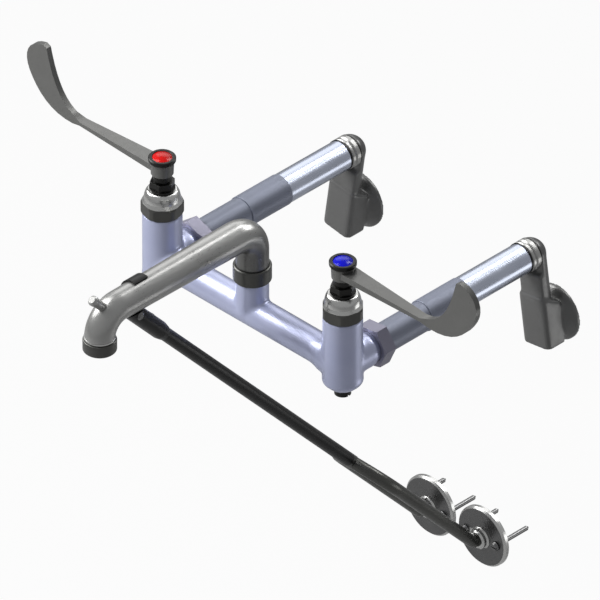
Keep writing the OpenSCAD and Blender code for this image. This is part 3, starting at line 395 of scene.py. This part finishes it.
VALVE_X_MM = 101.6
VALVE_Y_MM = -235
OUTLET_Y_MM = -405.5
for side, x in (("hot", -VALVE_X_MM), ("cold", VALVE_X_MM)):
    stem = Vector((x, VALVE_Y_MM, 0)) * MM
    hub_top = reach(f"{side}_handle", 2, max, stem)
    lipped = [(11.1, -3.4), (11.2, -3.0), (11.2, -0.6), (10.5, 0.1), (8.5, 0.1), (8.5, -0.4)]
    spun(f"{side}_index_ring", lipped, Vector((stem.x, stem.y, hub_top)), Vector((0, 0, 1)),
         f"{side}_valve_handle", "dark_nut")
    front = reach(f"{side}_swivel_collar", 1, min)
    back = reach(f"{side}_swivel_collar", 1, max)
    wiper = [(12.6, 0), (13.5, 0), (13.5, 1.2), (12.6, 1.2)]
    spun(f"{side}_front_wiper", wiper, Vector((stem.x, front - 1.2 * MM, 0)), Vector((0, 1, 0)),
         body_of_node(f"{side}_swivel_collar"), "dark_nut")
    spun(f"{side}_back_wiper", wiper, Vector((stem.x, back, 0)), Vector((0, 1, 0)),
         body_of_node(f"{side}_drop_arm"), "dark_nut")
lip = reach("outlet_collar", 2, max)
spun("spout_bead", [(11, 0.5), (12.7, 0.5), (13.0, 1.0), (13.0, 1.5), (12.7, 2.0), (11, 2.2)],
     Vector((0, OUTLET_Y_MM * MM, lip)), Vector((0, 0, 1)), "root", "bonnet")
print("seven turned rings")

# %% [markdown]
# ## The casting
#
# The bridge, its two valve towers and its inlet arms are one sand casting. The pattern maker
# gives every inside corner a fillet, because a sharp corner would tear as the metal shrinks.
# Those blends run along curves where three tubes meet, which no bevel handles well. A voxel
# remesh turns the copy into an even skin, and a few rounds of smoothing then pull the inside
# corners into fillets, as wax would. The two drop arms are castings too: an elbow, a flat neck,
# a block, and a boss that spreads into a round plate. The plates are machined flat where they
# meet the wall, so the points near the wall stay where they are.

# %% Blended castings
def even_skin(node, voxel_mm, rounds, name, wall_side_mm=0.0):
    shape = merged_copy(node)
    rough = bpy.data.meshes.new(name + "_rough")
    shape.to_mesh(rough)
    shape.free()
    carrier = bpy.data.objects.new(name + "_rough", rough)
    bpy.context.collection.objects.link(carrier)
    skin = carrier.modifiers.new("skin", "REMESH")
    skin.mode = "VOXEL"
    skin.voxel_size = voxel_mm * MM
    drawn = carrier.evaluated_get(bpy.context.evaluated_depsgraph_get())
    shape = bmesh.new()
    shape.from_mesh(drawn.data)
    bpy.data.objects.remove(carrier)
    free = [vertex for vertex in shape.verts if vertex.co.y < -wall_side_mm * MM]
    for _ in range(rounds):
        bmesh.ops.smooth_vert(shape, verts=free, factor=0.5,
                              use_axis_x=True, use_axis_y=True, use_axis_z=True)
    for face in shape.faces:
        face.smooth = True
    return shape


casting = stands_for("bridge_body", even_skin("bridge_body", 0.9, 14, "casting"), "blended_casting")
print("casting has", len(casting.data.polygons), "faces")
for side in ("hot", "cold"):
    node = f"{side}_drop_arm"
    arm = stands_for(node, even_skin(node, 0.7, 26, f"{side}_arm", 3.0), f"{side}_arm_casting")
    print(node, "has", len(arm.data.polygons), "faces")

# %% [markdown]
# ## Floor and light
#
# The photograph stands the faucet on plain white with no wall behind it. A pale floor below it
# takes a soft shadow. It could be lit until it is white, but then the metal would be burnt out
# too, so the floor shows the camera mostly its own white and only a little of the real light.

# %% Floor
def plane(name, centre, size, finish):
    sheet = bmesh.new()
    bmesh.ops.create_grid(sheet, x_segments=1, y_segments=1, size=size / 2,
                          matrix=Matrix.Translation(centre))
    mesh = bpy.data.meshes.new(name)
    sheet.to_mesh(mesh)
    sheet.free()
    mesh.materials.append(finish)
    made = bpy.data.objects.new(name, mesh)
    bpy.context.collection.objects.link(made)
    return made


def white_to_the_camera(tree, lit, share, mirror_share):
    path = put(tree, "ShaderNodeLightPath", {}, {})
    mirrored = put(tree, "ShaderNodeMath", {"operation": "MAXIMUM"}, {
        0: path.outputs["Is Glossy Ray"], 1: path.outputs["Is Transmission Ray"]})
    in_metal = put(tree, "ShaderNodeMath", {"operation": "MULTIPLY"}, {
        0: mirrored.outputs["Value"], 1: mirror_share})
    amount = put(tree, "ShaderNodeMath", {"operation": "MULTIPLY_ADD"}, {
        0: path.outputs["Is Camera Ray"], 1: share, 2: in_metal.outputs["Value"]})
    white = put(tree, "ShaderNodeEmission", {}, {"Color": linear("FFFFFF"), "Strength": 1.0})
    return put(tree, "ShaderNodeMixShader", {}, {
        0: amount.outputs["Value"], 1: lit, 2: white.outputs["Emission"]})


pale = bpy.data.materials.new("pale_painted_floor")
pale.use_nodes = True
tree = pale.node_tree
paint = tree.nodes["Principled BSDF"]
paint.inputs["Base Color"].default_value = linear("B8B8B8")
paint.inputs["Roughness"].default_value = 0.9
mixed = white_to_the_camera(tree, paint.outputs["BSDF"], share=0.95, mirror_share=0.1)
tree.links.new(mixed.outputs["Shader"], tree.nodes["Material Output"].inputs["Surface"])
floor = plane("floor", Vector((0, -0.2, -0.48)), 8.0, pale)
print("floor at", floor.data.vertices[0].co.z)

# %% [markdown]
# ## Studio light
#
# Chrome shows what stands around it, while a satin plating shows the light that falls on it. One
# lamp can't be right for both, so the key box in front on the left only lights the matt share of
# the surfaces, and gives towers and arms a light left side and a dark right side. The other boxes
# only show as reflections: down the bridge (front), along the spout (left, ceiling), as the
# narrow stripe on the supply tubes, on the elbows (wall), and as a thin line low on the tubes.
# The world adds an even, dim light from all round.

# %% Soft boxes and world
def soft_box(name, place, aim, width, height, watts, gloss=True, matte=True):
    lamp = bpy.data.lights.new(name, "AREA")
    lamp.shape = "RECTANGLE"
    lamp.size = width
    lamp.size_y = height
    lamp.energy = watts
    made = bpy.data.objects.new(name, lamp)
    made.location = place
    made.rotation_euler = (Vector(aim) - Vector(place)).to_track_quat("-Z", "Y").to_euler()
    made.visible_camera = False
    made.visible_glossy = gloss
    made.visible_diffuse = matte
    bpy.context.collection.objects.link(made)


middle = Vector((0, -0.2, -0.08))
soft_box("left_box", (-1.44, -0.65, 0.91), middle, 0.9, 0.9, 16, matte=False)
soft_box("key_box", (-1.04, -1.30, 1.22), middle, 0.7, 0.7, 42, gloss=False)
soft_box("front_box", (-1.10, -0.74, 1.36), middle, 1.0, 1.5, 22, matte=False)
soft_box("ceiling_box", (-0.92, 0.72, 0.84), middle, 1.0, 0.8, 3.6, matte=False)
soft_box("stripe_box", (-0.12, 0.67, 1.14), middle, 0.3, 0.5, 2.8, matte=False)
soft_box("wall_box", (0.23, 0.97, 0.82), middle, 0.5, 0.4, 6, matte=False)
soft_box("low_box", (0.55, 0.34, -0.30), Vector((0.11, -0.02, -0.06)), 0.45, 0.25, 0.6)

world = bpy.data.worlds.new("studio")
world.use_nodes = True
bpy.context.scene.world = world
tree = world.node_tree
dim = put(tree, "ShaderNodeBackground", {}, {"Color": linear("F2F4F8"), "Strength": 0.22})
mixed = white_to_the_camera(tree, dim.outputs["Background"], share=1.0, mirror_share=0.25)
tree.links.new(mixed.outputs["Shader"], tree.nodes["World Output"].inputs["Surface"])
print("seven soft boxes and a dim white world")

# %% [markdown]
# ## Camera
#
# The picture is a parallel view from the front right, 35.26 degrees up, in which all three axes
# shrink alike. A parallel camera would match it, but a very long lens far away gives the same
# lines to a fraction of a pixel and still lets other views be framed, so the camera is that.
# SCALE is the picture's pixels per millimetre, and ORIGIN_PX is where the middle of the bridge
# stands in the picture.

# %% Camera
right = Vector((1, 1, 0)).normalized()
up = Vector((-1, 1, 2)).normalized()
toward = Vector((1, -1, 1)).normalized()
SCALE = 1.0258 * math.sqrt(1.5)
LENS = 1700
SENSOR = 36
PIXELS = 600
ORIGIN_PX = (252.4, 309.6)
target = (Vector((0, VALVE_Y_MM, 0)) + (PIXELS / 2 - ORIGIN_PX[0]) / SCALE * right
          + (ORIGIN_PX[1] - PIXELS / 2) / SCALE * up)
distance = PIXELS / SCALE * LENS / SENSOR
sight = bpy.data.cameras.new("camera")
sight.lens = LENS
sight.sensor_width = SENSOR
sight.clip_start = 1
sight.clip_end = 400
camera = bpy.data.objects.new("camera", sight)
camera.location = (target + toward * distance) * MM
camera.rotation_euler = (-toward).to_track_quat("-Z", "Y").to_euler()
bpy.context.collection.objects.link(camera)
bpy.context.scene.camera = camera
bpy.context.scene.view_settings.view_transform = "Standard"
print("camera", [round(v, 2) for v in camera.location], "looks at", [round(v, 1) for v in target])
